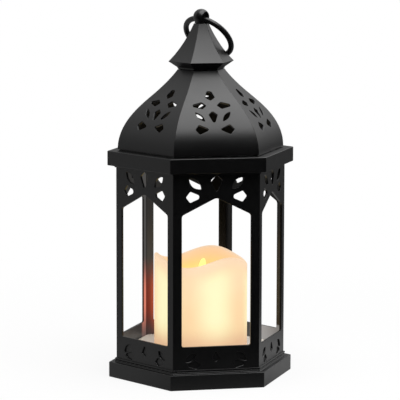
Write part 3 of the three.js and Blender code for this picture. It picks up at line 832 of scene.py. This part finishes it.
def bead_patches(low):
    """A rounded bar along the panel: a profile of depth and height carried from mitre to
    mitre, closed by its two ends."""
    profile, normals = rounded_profile([
        [-bead_sunk, low],
        [bead_proud, low],
        [bead_proud, low + bead_height],
        [-bead_sunk, low + bead_height],
    ], bead_round, 3)
    end = (panel_out + profile[:, 0]) * tan_half - panel_seam
    count = len(end)
    depth, height = np.tile(profile.T, 2)
    bulge, rise = np.tile(normals.T, 2)
    points = np.stack([np.concatenate([-end, end]), height, depth], 1)
    bar = (points, np.stack([0 * rise, rise, bulge], 1), grid_faces(2, count, around=True))
    cap = np.stack([np.zeros(count - 2, int), np.arange(1, count - 1), np.arange(2, count)], 1)
    return [
        bar,
        (points[:count], np.tile([-1.0, 0, 0], (count, 1)), cap),
        (points[count:], np.tile([1.0, 0, 0], (count, 1)), cap),
    ]


panel_face, rim_patches = panel_rim()
sheet_patches = pierced_sheet(
    panel_face, [window, *pierced_fan], blind_fan, panel_wall, panel_round,
) + rim_patches
panel_patches = [stood_up(patch) for patch in (
    *[mitred(patch) for patch in sheet_patches],
    *bead_patches(panel_foot),
    *bead_patches(panel_head - bead_height),
)]


def colour(red, green, blue):
    """A colour given as 8-bit display values, as the linear light that the nodes work in."""
    shares = [value / 255 for value in (red, green, blue)]
    linear = [s / 12.92 if s <= 0.04045 else ((s + 0.055) / 1.055) ** 2.4 for s in shares]
    return (*linear, 1.0)


def painted_candle_light(made):
    """Painted light: an emission that stands in for the light and reflections that the candle and
    the white tray throw on the inside of the panels: grey on the sills and on the posts on the
    left, and red on the posts behind the candle."""
    x, y, z, vector = made.places()
    x, y, z = x * 1000.0, y * 1000.0, z * 1000.0
    inner = 1 - made.outward(x, y).between(-40.0, -25.0)
    rear = y.between(48.6, 49.2)
    left = 1 - x.between(-20.0, 20.0)
    height = z + made.noise(vector, 60.0, 2.0) * 8.0
    post = (x * x + y * y) ** 0.5
    post = post.between(52.5, 54.0) * left * y.between(5.0, 15.0)
    sill = (1 - z.between(30.5, 31.5)) * x.between(38.0, 48.0) * y.between(0.0, 1.0)
    # Painted light as emission: grey on the sills and left posts, red on the posts behind the
    # candle.
    grey = inner * left * (0.026 + 0.045 * post * (1 - rear))
    grey = grey + inner * sill * (1 - rear) * (0.32 - 0.19 * x.between(46.0, 60.0))
    lit = inner * post * height.between(18.0, 46.0) * (1 - height.between(54.0, 80.0))
    red = made.mixed(x.between(-27.5, -22.5), colour(110, 16, 4), colour(176, 70, 42))
    red = made.mixed(rear, colour(212, 124, 102), red)
    grey = made.mixed(grey, (0.0, 0.0, 0.0, 1.0), (1.0, 0.97, 0.94, 1.0))
    return {"Emission_Color": made.mixed(lit, grey, red), "Emission_Strength": 1.0}


# The panels' plastic carries the painted candle light on its inner faces.
panel_plastic_painted_light = satin_black("panel_plastic_painted_light", jet, jet_shine, 0.0, painted_candle_light)
for i in range(6):
    panel = add_mesh(
        f"panel_{i + 1}", [turned_round(patch, i) for patch in panel_patches], panel_plastic_painted_light,
    )
    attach(panel, "lantern")
    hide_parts(f"side_panel_{i + 1}")

# Eave: a black moulded frame over the panels. Its collar drops inside their heads, its skirt
# hangs outside them, and the dome stands on it round the low rim in its middle.
eave_out, collar_foot, rim_top = span_of("eave_ring")
eave_top = 156.3
eave_under = 146.3
eave_round = 0.45
collar_out = tray_out
collar_in = collar_out - wall
seat_out = 52.295
rim_out = 49.143

eave = add_mesh("eave", [hexagon_sweep(*rounded_profile([
    [collar_in, collar_foot],
    [collar_out, collar_foot],
    [collar_out, eave_under],
    [seat_out, eave_under],
    [seat_out, eave_top - wall],
    [eave_out - wall, eave_top - wall],
    [eave_out - wall, eave_under],
    [eave_out, eave_under],
    [eave_out, eave_top],
    [rim_out, eave_top],
    [rim_out, rim_top],
    [collar_in, rim_top],
    [collar_in, eave_top - wall],
    [seat_out - wall, eave_top - wall],
    [seat_out - wall, eave_under + wall],
    [collar_in, eave_under + wall],
], eave_round), hexagon_round)], black_plastic)
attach(eave, "lantern")
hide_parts("eave_ring")


# Dome: one black moulding of six ogee facets, each pierced by a fan of five openings and
# three more above it. It stands on the eave and its neck carries the cap.
def bezier(points, steps):
    """The curve of any degree over its control points, by de Casteljau's repeated mixing."""
    share = np.linspace(0, 1, steps + 1)[:, None, None]
    mixed = np.broadcast_to(np.asarray(points, float), (steps + 1, len(points), 2))
    while mixed.shape[1] > 1:
        mixed = mixed[:, :-1] * (1 - share) + mixed[:, 1:] * share
    return mixed[:, 0]


def length_along(line):
    """The length of a line of points from its start to each of them."""
    return np.concatenate([[0.0], np.cumsum(np.linalg.norm(np.diff(line, axis=0), axis=1))])


_, dome_foot, neck_top = span_of("roof_dome")
dome_out = 50.143
ogee_turn = (28.579, 194.414)
neck_out = 14.203
dome_wall = 1.6
dome_lip = 0.35
hip_round = 0.45
hip_round_inside = 0.4
dome_curve = np.concatenate([
    bezier([(dome_out, dome_foot), (dome_out, 175.19), (36.629, 186.748), ogee_turn], 200),
    bezier([ogee_turn, (19.051, 203.487), (neck_out, neck_top)], 200)[1:],
])
dome_along = length_along(dome_curve)
dome_length = dome_along[-1]
dome_way = unit(np.gradient(dome_curve, dome_along, axis=0))


def dome_at(along):
    """The curve's distance from the axis and height at a length along it, and its direction."""
    return [np.interp(along, dome_along, values) for values in (*dome_curve.T, *dome_way.T)]


def on_facet(patch):
    """Bends a flat sheet over the curve: its length runs along the curve and its depth is
    square to it. Towards the hips the back narrows to the inner hexagon's side."""
    across, along, depth = patch[0].T
    reach, height, way_out, way_up = dome_at(along)
    half = (reach - hip_round) * tan_half
    inset = np.where(depth < 0, hip_round_inside, hip_round)
    back = (reach + depth * way_up - inset) * tan_half
    back = half + (back - half) * np.clip(-depth / dome_wall, 0, 1)
    across = across * (1 + (back / half - 1) * (np.abs(across) / half) ** 6)
    points = np.stack([across, -(reach + depth * way_up), height - depth * way_out], 1)
    run, rise, face = patch[1].T
    normals = np.stack([run, -(rise * way_out + face * way_up), rise * way_up - face * way_out], 1)
    return points, normals, patch[2]


def resampled(outline, step):
    """The closed outline with extra points, so that none are further apart than the step."""
    loop = np.concatenate([outline, outline[:1]])
    along = length_along(loop)
    even = np.linspace(0, along[-1], int(along[-1] / step) + 1)[:-1]
    gap = np.abs(even[:, None] - along[None, :]).min(1)
    stops = np.sort(np.concatenate([along[:-1], even[gap > 0.4 * step]]))
    return np.stack([np.interp(stops, along, values) for values in loop.T], 1)


def ornament(shape, x, y, degrees):
    """A shape in its place on the facet, in shares of the curve's length."""
    return resampled(placed(shape, x, y, degrees, dome_length, 0.0), 1.2)


dome_openings = [
    ornament(petal(0.131, 0.09, 0.021), 0, 0.352, 90),
    ornament(petal(0.12, 0.096, 0.045), 0, 0.746, 270),
] + mirrored([
    ornament(leaf(0.138, 0.044), 0.179, 0.472, 232),
    ornament(petal(0.131, 0.104, 0.018), 0.069, 0.271, 0),
    ornament(petal(0.135, 0.087, 0.027), 0.191, 0.558, 180),
])
dome_stops = np.linspace(0, dome_length, 45)
reach, height, way_out, way_up = dome_at(dome_stops)
side_half = (reach - hip_round) * tan_half
facet_border = np.concatenate([
    np.stack([side_half, dome_stops], 1), np.stack([-side_half, dome_stops], 1)[::-1],
])
facet_patches = [on_facet(patch) for patch in pierced_sheet(
    facet_border, dome_openings, [], dome_wall, dome_lip, spacing=(2.2, 1.5),
)]
outer_curve = np.stack([reach, height], 1)
outer_facing = np.stack([way_up, -way_out], 1)
inner_curve = outer_curve - dome_wall * outer_facing
screw_hole = 1.4
neck = np.array([
    [*outer_curve[-1], 0, 1, hip_round],
    [screw_hole, neck_top, 0, 1, screw_hole],
    [screw_hole, neck_top, -1, 0, screw_hole],
    [screw_hole, neck_top - dome_wall, -1, 0, screw_hole],
    [screw_hole, neck_top - dome_wall, 0, -1, screw_hole],
    [*inner_curve[-1], 0, -1, hip_round_inside],
])
foot = np.array([
    [*inner_curve[0], 0, -1, hip_round_inside],
    [*outer_curve[0], 0, -1, hip_round],
])
dome_patches = [
    hexagon_sweep(outer_curve, outer_facing, hip_round, closed=False, corners_only=True),
    hexagon_sweep(inner_curve, -outer_facing, hip_round_inside, closed=False, corners_only=True),
] + [
    hexagon_sweep(end[:, :2], end[:, 2:4], end[:, 4], closed=False) for end in (neck, foot)
] + [turned_round(patch, i) for i in range(6) for patch in facet_patches]
dome = add_mesh("dome", dome_patches, black_plastic)
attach(dome, "lantern")
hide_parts("roof_dome")

# Cap: a flared hollow hexagon of the same black plastic. Its skirt stands on the dome's neck,
# and a screw through the neck pulls it down.
_, cap_foot, cap_top = span_of("finial_cap")
cap_wall = 1.8
cap_round = 0.2
skirt_in = 12.153
skirt_out = skirt_in + cap_wall
flare = (19.745, cap_foot + 5.2)
flank_bend = (10.7, 226.317)
crown_out = 4.503
stem_hole = 2.7
flank = bezier([flare, flank_bend, (crown_out, cap_top)], 24)
flank_way = unit(np.gradient(flank, axis=0))
flank_inside = flank - cap_wall * np.stack([flank_way[:, 1], -flank_way[:, 0]], 1)
flank_inside = flank_inside[flank_inside[:, 1] < cap_top - 1.5 * cap_wall]
cap_profile = np.concatenate([
    [[skirt_in, cap_foot], [skirt_out, cap_foot], [skirt_out + 0.5, cap_foot + 1.2]],
    flank,
    [[stem_hole, cap_top], [stem_hole, cap_top - cap_wall]],
    flank_inside[1:][::-1],
    [[skirt_in, cap_foot + 3.0]],
])
cap = add_mesh(
    "cap", [hexagon_sweep(*rounded_profile(cap_profile, cap_round), 0.3)], black_plastic,
)
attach(cap, "lantern")
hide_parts("finial_cap")

# Ball: a black bead on a collar, with a bell-mouthed eye across it and a stem that goes down
# through the cap to the dome's neck. The eye is cut after the collar is joined on.
ball_radius = 5.5
ball_centre = 246.3
ball_collar = 4.5
ball_collar_foot = 242.2
ball_collar_top = 245.0
stem_radius = 2.4
stem_foot = 211.2
stem_top = 243.0
eye_centre = 245.9
eye_radius = 3.1
eye_flare = 1.6
eye_half = 1.2 * ball_radius
eye_turn = math.radians(50)
eye_way = np.array([math.cos(eye_turn), -math.sin(eye_turn), 0.0])


def turned_post(name, hole, radius, low, high, rounding):
    """A straight post round the axis, with a hole up its middle."""
    profile = [[hole, low], [radius, low], [radius, high], [hole, high]]
    return add_mesh(name, [lathed(*rounded_profile(profile, rounding))], black_plastic)


circle = spokes(np.linspace(-math.pi / 2, math.pi / 2, 33))
ball = add_mesh("ball", [lathed(
    circle * ball_radius + [0, ball_centre], circle, closed=False,
)], black_plastic)
collar = turned_post("collar", 0.0, ball_collar, ball_collar_foot, ball_collar_top, 0.25)
stem = turned_post("stem", screw_hole, stem_radius, stem_foot, stem_top, 0.2)
along_eye = np.linspace(-eye_half, eye_half, 25)
mouth = np.stack([eye_radius + eye_flare * (along_eye / ball_radius) ** 2, along_eye], 1)
mouth = np.concatenate([[[0, -eye_half]], mouth, [[0, eye_half]]])
eye_points, eye_normals, eye_faces = lathed(mouth, mouth * [1, 0] + [0.01, 0], closed=False)
basis = np.stack([np.cross([0, 0, 1.0], eye_way), [0, 0, 1.0], eye_way])
eye = add_mesh("eye", [(
    eye_points @ basis + [0, 0, eye_centre], eye_normals @ basis, eye_faces,
)], black_plastic)
for tool, operation in ((collar, "UNION"), (eye, "DIFFERENCE"), (stem, "UNION")):
    step = ball.modifiers.new(tool.name, "BOOLEAN")
    step.object = tool
    step.operation = operation
    step.solver = "EXACT"
bpy.context.view_layer.update()
shaped = bpy.data.meshes.new_from_object(
    ball.evaluated_get(bpy.context.evaluated_depsgraph_get())
)
ball.modifiers.clear()
ball.data = shaped
for tool in (collar, stem, eye):
    bpy.data.objects.remove(tool)
shaped.shade_smooth()
shaped.set_sharp_from_angle(angle=math.radians(35))
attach(ball, "lantern")
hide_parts("finial_ball")

# Hanging ring: steel wire bent round, welded and painted satin black. It hangs through the
# ball's eye and leans back on the cap.
black_paint = satin_black("black_wire", (0.0030, 0.0030, 0.0032), 0.30)
ring_radius = 17.4
ring_wire = 1.9
ring_lean = math.radians(40.5)
ring_tilt = math.radians(8)
ring_pivot = np.array([0, 0, 245.1])

around = np.linspace(0, 2 * math.pi, 144, endpoint=False)[:, None]
section = np.linspace(0, 2 * math.pi, 28, endpoint=False)[None, :]
skin = np.stack([
    np.cos(around) * np.cos(section),
    np.sin(around) * np.cos(section),
    np.sin(section) * np.ones_like(around),
], -1)
loop = np.stack([np.cos(around), np.sin(around), 0 * around], -1) * ring_radius
loop = loop + skin * ring_wire + [0, ring_radius, 0]
backwards = np.array([math.sin(eye_turn), math.cos(eye_turn), 0])
down = backwards * math.sin(ring_lean) + [0, 0, -math.cos(ring_lean)]
hang = turning(ring_tilt) @ np.stack([eye_way, down, np.cross(eye_way, down)])
ring = add_mesh("ring", [(
    loop.reshape(-1, 3) @ hang + ring_pivot,
    skin.reshape(-1, 3) @ hang,
    grid_faces(len(around), section.size, around=True, closed=True),
)], black_paint)
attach(ring, "ring")
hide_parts("hanging_ring")

# Candle: a moulded shell that looks like wax and stands in the tray's seat, with a melted rim
# of three waves and one shoulder round a deep recess. Its glow is painted on as an emission that
# stands in for the lamp inside lighting its wall, with painted highlights in soft upright patches.
candle_foot = span_of("candle_shell")[1]
candle_radius = 32.0
candle_bore = 29.5
candle_top = candle_foot + 65.8
lip_radius = 1.5
recess_floor = candle_top - 23.0
recess_under = recess_floor - 2.5
recess_flat = 18.0
spigot_hole = 3.7
rim_waves = ((3, 3.7, 61), (1, 0.9, 176), (2, 0.7, 96))
shoulder_height = 2.2
shoulder_turn = 0.14
shoulder_width = 0.38


def painted_wax_glow():
    """Painted glow of wax lit from inside, as an emission. It fades towards the foot, brightens in
    five upright lobes that are a painted highlight, and turns amber in the recess."""
    made = Finish("wax_look")
    x, y, z, vector = made.places()
    height = z * 1000.0
    reach = (x * x + y * y) ** 0.5 * 1000.0
    angle = y.math("ARCTAN2", x)
    cloud = made.noise(vector, 34.0, 3.0)
    drift = cloud - 0.5
    rim = candle_top
    for count, rise, phase in rim_waves:
        rim = rim + rise * ((angle + math.radians(phase)) * count).math("COSINE")
    away = (angle - shoulder_turn) / shoulder_width
    rim = rim + shoulder_height * (away * away * -1.0).math("EXPONENT")
    below_rim = rim - height + drift * 3.0
    # Painted highlight: five bright upright lobes, one turned nearly to the front.
    painted_lobe = ((angle - math.radians(-82)) * 5.0).math("COSINE") * 0.5 + 0.5
    painted_lobe = painted_lobe * height.between(22.0, 44.0) * below_rim.between(2.0, 16.0)
    foot = made.mixed(height.between(18.0, 38.0), colour(212, 166, 132), colour(254, 217, 164))
    upper = (height + drift * 12.0).between(48.0, 72.0)
    lit = made.mixed(upper, foot, colour(255, 222, 176))
    lit = made.mixed((painted_lobe + drift * 0.25).clamped(), lit, colour(255, 253, 200))
    lit = made.mixed(0.85 * (1 - below_rim.between(0.5, 9.0)), lit, colour(253, 220, 186))
    # Painted glow: amber on the inside of the recess.
    bowl = made.mixed(
        (height + drift * 14.0).between(64.0, 84.0), colour(255, 236, 138), colour(246, 158, 80),
    )
    return made.surface(
        Base_Color=made.mixed(cloud, (0.26, 0.19, 0.13, 1.0), (0.32, 0.24, 0.17, 1.0)),
        Roughness=0.42 + cloud * 0.12,
        Normal=made.bump(made.noise(vector, 160.0, 3.0), 0.2, 0.0004),
        Emission_Color=made.mixed(1 - reach.between(27.6, 29.6), lit, bowl),
        Emission_Strength=0.82,
    )


lip = spokes(np.linspace(0, math.pi, 13)) * lip_radius
lip = lip + [candle_radius - lip_radius, candle_top - lip_radius]
inside_radius = candle_radius - 2 * lip_radius
candle_profile = np.concatenate([
    [[candle_bore, candle_foot], [candle_radius, candle_foot]],
    np.stack([
        np.full(24, candle_radius),
        np.linspace(candle_foot + 2, candle_top - lip_radius, 24, endpoint=False),
    ], 1),
    lip,
    bezier([
        (inside_radius, candle_top - lip_radius),
        (inside_radius - lip_radius, recess_floor),
        (recess_flat, recess_floor),
    ], 20)[1:],
    [[spigot_hole, recess_floor], [spigot_hole, recess_under]],
    bezier([
        (recess_flat, recess_under), (candle_bore, recess_under), (candle_bore, recess_floor),
    ], 10),
    [[candle_bore, recess_floor - 4]],
])
spun, facing, faces = lathed(*rounded_profile(candle_profile, 0.6), 192)
angle = np.arctan2(spun[:, 1], spun[:, 0])
fade = np.clip((spun[:, 2] - recess_floor - 2.5) / (candle_top - recess_floor - 2.5), 0, None)
for count, rise, phase in rim_waves:
    spun[:, 2] += fade * rise * np.cos(count * (angle + math.radians(phase)))
away = (angle - shoulder_turn) / shoulder_width
spun[:, 2] += fade * shoulder_height * np.exp(-away ** 2)
candle = add_mesh("candle", [(spun, facing, faces)], painted_wax_glow())
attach(candle, "lantern")
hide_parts("candle_shell")


# Flame and lamp: a hollow teardrop of amber plastic whose spigot stands in the recess's
# floor. The lamp under it keeps its CAD shape and lights it from inside.
def lit_amber(name, low, high, strength):
    """Clear amber plastic whose glow goes from the low colour to the high one as it rises."""
    made = Finish(name)
    _, _, z, vector = made.places()
    cloud = made.noise(vector, 150.0, 2.0)
    rise = (z * 1000.0).between(58.0, 80.0)
    return made.surface(
        Base_Color=made.mixed(cloud, (0.95, 0.62, 0.14, 1.0), (1.0, 0.72, 0.20, 1.0)),
        Roughness=0.3 + cloud * 0.1,
        Emission_Color=made.mixed((rise + (cloud - 0.5) * 0.2).clamped(), low, high),
        Emission_Strength=strength,
    )


flame_amber = lit_amber("amber_plastic", colour(255, 224, 118), colour(255, 238, 146), 0.95)
lamp_amber = lit_amber("lamp_amber", colour(255, 214, 110), colour(255, 236, 150), 1.4)
finish_nodes(lamp_amber, "lamp_led")

_, spigot_foot, flame_top = span_of("flame_tip")
flame_radius = 4.6
flame_foot = 58.4
flame_height = flame_top - flame_foot + 0.4
flame_lean = 1.9
spigot_radius = 3.4
lamp_bore = 1.8
teardrop = bezier([
    (0.85 * flame_radius, flame_foot),
    (1.17 * flame_radius, flame_foot + 0.22 * flame_height),
    (0.48 * flame_radius, flame_foot + 0.6 * flame_height),
    (0.62 * flame_radius, flame_foot + flame_height),
    (0.0, flame_foot + flame_height),
], 40)
flame_profile = np.concatenate([
    [[lamp_bore, spigot_foot], [spigot_radius, spigot_foot], [spigot_radius, flame_foot]],
    teardrop,
    [[0.0, flame_foot + 0.45 * flame_height], [lamp_bore, flame_foot + 0.35 * flame_height]],
])
spun, facing, faces = lathed(*rounded_profile(flame_profile, 0.2), 48)
rise = np.clip((spun[:, 2] - flame_foot) / flame_height, 0, 1)
spun[:, 0] += flame_lean * rise ** 2
flame = add_mesh("flame", [(spun, facing, faces)], flame_amber)
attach(flame, "lantern")
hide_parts("flame_tip")
